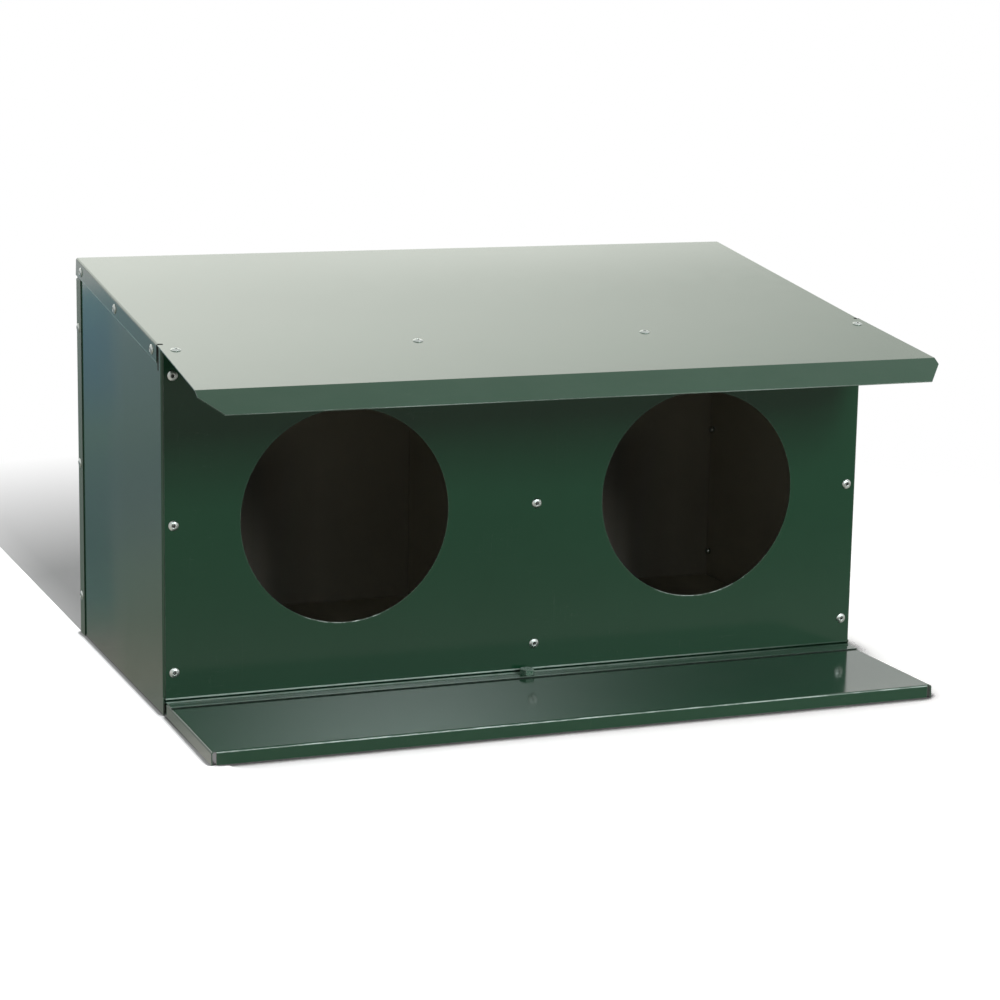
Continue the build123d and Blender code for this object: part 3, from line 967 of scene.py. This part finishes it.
# %% Surroundings
ambient = 0.15
world = bpy.data.worlds.new("studio")
bpy.context.scene.world = world
world.use_nodes = True
sky = world.node_tree
level = maths(sky, "ADD", product(sky, sees_white(sky), 1 - ambient), ambient)
feed(sky, sky.nodes["Background"], Color=white, Strength=level)
print("world light", ambient)

# %% [markdown]
# Three soft boxes light the object: one high in front on the right, which draws the shade of the roof on the
# front, one overhead, and a faint cool one from the left. Their power follows from their size, so a box can
# be resized without a change of brightness. The coat doesn't mirror them, because a sharp rectangle in the
# gloss would look like a lamp; cards made for that come next.


# %% Lights
def soft_box(name, place, aim, width, height, radiance, colour=(1, 1, 1)):
    light = bpy.data.lights.new(name, "AREA")
    light.shape = "RECTANGLE"
    light.size = width
    light.size_y = height
    light.energy = radiance * math.pi * width * height
    light.color = colour
    lamp = bpy.data.objects.new(name, light)
    lamp.location = place
    lamp.rotation_euler = (Vector(aim) - Vector(place)).to_track_quat("-Z", "Y").to_euler()
    lamp.visible_camera = False
    lamp.visible_glossy = False
    bpy.context.scene.collection.objects.link(lamp)
    print("lamp", name, round(light.energy, 1), "W")


soft_box("front right soft box", (0.64, -2.2, 1.24), (0, -0.08, 0.2), 0.56, 0.82, 23)
soft_box("overhead soft box", (0.2, 0.3, 2.4), (0, 0, 0.3), 1.6, 1.6, 3.2)
soft_box("cool fill from the left", (-2.2, 0.7, 1.0), (-0.35, 0.1, 0.15), 1.0, 1.0, 4.6, (0.86, 0.95, 1.0))

# %% [markdown]
# ## What the coat mirrors
# A half glossy coat gets most of its look from what it mirrors. Product photographers stand cards around a
# glossy object for that, and so does this scene: the camera doesn't see them, and they cast no shadow. They
# could be plain white, but cards that fade from light to dark give the soft changes of tone of real sheet.


# %% Card helper
def build_card(name, width, depth, tilt, place):
    """A flat card of a given size, tilted about X by some degrees."""
    card = bmesh.new()
    bmesh.ops.create_grid(card, x_segments=8, y_segments=8, size=0.5)
    bmesh.ops.scale(card, vec=(width, depth, 1), verts=card.verts)
    bmesh.ops.rotate(card, matrix=Matrix.Rotation(math.radians(tilt), 3, "X"), verts=card.verts)
    bmesh.ops.translate(card, vec=place, verts=card.verts)
    mesh = bpy.data.meshes.new(name)
    card.to_mesh(mesh)
    card.free()
    piece = new_piece(name.replace(" ", "_"), mesh)
    piece.visible_camera = False
    piece.visible_shadow = False
    return piece


def lit_finish(name):
    """An empty material for a card that only glows."""
    material = bpy.data.materials.new(name)
    material.use_nodes = True
    material.node_tree.nodes.clear()
    return material, material.node_tree


def dress_card(piece, material, surface):
    """Puts a card's finished shader on it."""
    tree = material.node_tree
    output = tree.nodes.get("Material Output") or add(tree, "ShaderNodeOutputMaterial")
    give(tree, output.inputs[0], surface)
    piece.data.materials.append(material)
    print("card", piece.name, len(tree.nodes), "nodes")


# %% [markdown]
# The lit card stands behind the object and leans over it. The roof mirrors it: bright on the left, darker to
# the right, with one slightly brighter and one slightly darker band along the roof's rear edge.

# %% Lit card behind
warm_white = (1.0, 1.0, 0.94, 1)


def lit_card_level(tree, axes):
    level = spread(tree, axes["X"], 0.2, 1.9, 2.45, 1.25)
    band = product(tree, spread(tree, axes["Z"], 1.235, 1.205), spread(tree, axes["X"], 0.4, 1.0))
    level = product(tree, level, maths(tree, "MULTIPLY_ADD", band, 0.2, 1.0))
    dip = product(tree, spread(tree, axes["Z"], 1.21, 1.235), spread(tree, axes["Z"], 1.34, 1.28))
    dip = product(tree, dip, spread(tree, axes["X"], 0.4, 1.4, 0.07, 0.17))
    return product(tree, level, maths(tree, "SUBTRACT", 1.0, dip))


lit_card = build_card("lit card", 4.2, 1.2, 70, (0.6, 2.3, 1.35))
material, tree = lit_finish("lit card")
dress_card(lit_card, material, emission(tree, warm_white, lit_card_level(tree, object_axes(tree))))

# %% [markdown]
# The glow card stands where the front soft box is. The landing board mirrors it as a broad soft patch of
# light, so it is bright in the middle and fades like a bell to the sides. Only mirror rays meet it, because
# the soft box already gives the light.

# %% Glow card in front
glow_middle = (0.66, -2.2, 1.13)
glow_spread = (0.24, 0.25)
glow_peak = 24.0
glow_base = 1.7
cool_white = (0.9, 1.0, 1.0, 1)


def glow_level(tree, axes):
    across = maths(tree, "DIVIDE", maths(tree, "SUBTRACT", axes["X"], glow_middle[0]), glow_spread[0])
    along = maths(tree, "DIVIDE", maths(tree, "SUBTRACT", axes["Z"], glow_middle[2]), glow_spread[1])
    bell = maths(tree, "EXPONENT", product(tree, sum_of_squares(tree, across, along), -0.5))
    return maths(tree, "MULTIPLY_ADD", bell, glow_peak, glow_base)


glow_card = build_card("glow card", 3.0, 0.86, 90, glow_middle)
glow_card.visible_diffuse = False
glow_card.visible_transmission = False
material, tree = lit_finish("glow card")
dress_card(glow_card, material, emission(tree, cool_white, glow_level(tree, object_axes(tree))))

# %% [markdown]
# A large grey cloth lies on the floor around the object. The front and the left side mirror it, so its tone
# changes with the distance from the box, in front and to the left. On the left it has two fields with a
# slanted border, like a cloth of two widths sewn together, which gives the side its two tones of blue-grey.

# %% Tones of the cloth
cloth_grey = (0.5, 0.5, 0.48, 1)
front_tones = (
    (-8.0, (0.44, 0.45, 0.40)), (-3.5, (0.46, 0.46, 0.41)), (-2.0, (0.37, 0.37, 0.34)),
    (-1.2, (0.36, 0.37, 0.34)), (-0.7, (0.46, 0.46, 0.43)), (-0.3, (0.64, 0.64, 0.60)),
)
left_front_tones = (
    (-0.24, (0.95, 0.90, 0.84)), (-0.1, (0.48, 0.48, 0.45)), (0.06, (0.45, 0.42, 0.37)),
    (0.26, (0.34, 0.355, 0.31)), (0.5, (0.35, 0.39, 0.35)), (0.79, (0.31, 0.345, 0.38)),
    (1.13, (0.28, 0.33, 0.38)), (1.57, (0.375, 0.43, 0.44)), (2.1, (0.41, 0.48, 0.49)),
)
left_rear_tones = (
    (0.1, (0.44, 0.41, 0.37)), (0.18, (0.39, 0.37, 0.34)), (0.28, (0.27, 0.32, 0.295)),
    (0.38, (0.21, 0.29, 0.29)), (0.62, (0.18, 0.25, 0.27)), (0.95, (0.20, 0.275, 0.30)),
    (1.35, (0.24, 0.34, 0.34)), (1.8, (0.22, 0.33, 0.43)), (2.3, (0.23, 0.365, 0.50)),
    (2.76, (0.28, 0.46, 0.565)),
)
print("cloth tones", len(front_tones), len(left_front_tones), len(left_rear_tones))

# %% [markdown]
# The fields are put together by place. Mirror rays meet the cloth's tones as a glow, so they stay the same
# whatever the lamps do, and all other rays meet plain matt cloth.


# %% Cloth on the floor
def cloth_colour(tree, axes):
    aslant = maths(tree, "MULTIPLY_ADD", maths(tree, "ADD", axes["X"], 0.35), 4.15, axes["Y"])
    border = spread(tree, axes["Y"], 0.9, 1.6, 0.08, -0.01)
    beyond = spread(tree, maths(tree, "SUBTRACT", aslant, border), -0.03, 0.03)
    left_front = ramp(tree, axes["Y"], left_front_tones)
    left_rear = ramp(tree, axes["Y"], left_rear_tones)
    left = blend_colour(tree, beyond, left_front, left_rear)
    front = ramp(tree, axes["Y"], front_tones)
    return blend_colour(tree, spread(tree, axes["X"], -0.33, -0.35), front, left)


cloth = build_card("grey cloth", 9.0, 11.0, 0, (0.3, -2.5, 0.2 * MM))
material, tree, shader = new_finish(
    "grey cloth", (0.4, 0.4, 0.4, 1), Base_Color=cloth_grey, Roughness=1.0, Specular_IOR_Level=0.0,
)
place, axes = object_place(tree)
weave = spread(tree, noise(tree, place, 60, 3), 0.3, 0.7, 0.95, 1.05)
mirrored = emission(tree, cloth_colour(tree, axes), weave)
is_mirror_ray = add(tree, "ShaderNodeLightPath").outputs["Is Glossy Ray"]
dress_card(cloth, material, mix_shaders(tree, is_mirror_ray, shader.outputs[0], mirrored))

# %% [markdown]
# ## Camera
# The camera stands where the photograph was taken from: its place, its three axes and its focal length come
# from a least-squares fit to the box's corners, the rivet rows and the entrances.

# %% Camera
camera_data = bpy.data.cameras.new("camera")
camera_data.lens = 98.32
camera_data.sensor_width = 36
camera_data.clip_start = 0.05
camera_data.clip_end = 60
camera_place = (-0.9516, -2.4056, 0.6874)
right = Vector((0.93012, -0.36685, 0.01725))
upward = Vector((0.05723, 0.19117, 0.97989))
back = right.cross(upward)
turned = Matrix((right, upward, back)).transposed()
camera = bpy.data.objects.new("camera", camera_data)
camera.matrix_world = Matrix.Translation(camera_place) @ turned.to_4x4()
bpy.context.scene.collection.objects.link(camera)
bpy.context.scene.camera = camera
bpy.context.scene.view_settings.view_transform = "Standard"
print("camera looks along", [round(v, 4) for v in -back])

# %% [markdown]
# ## Last update
# The dressed object has to stay as large as the measured one; here the scene is only brought up to date.

# %% Bring the scene up to date
bpy.context.view_layer.update()
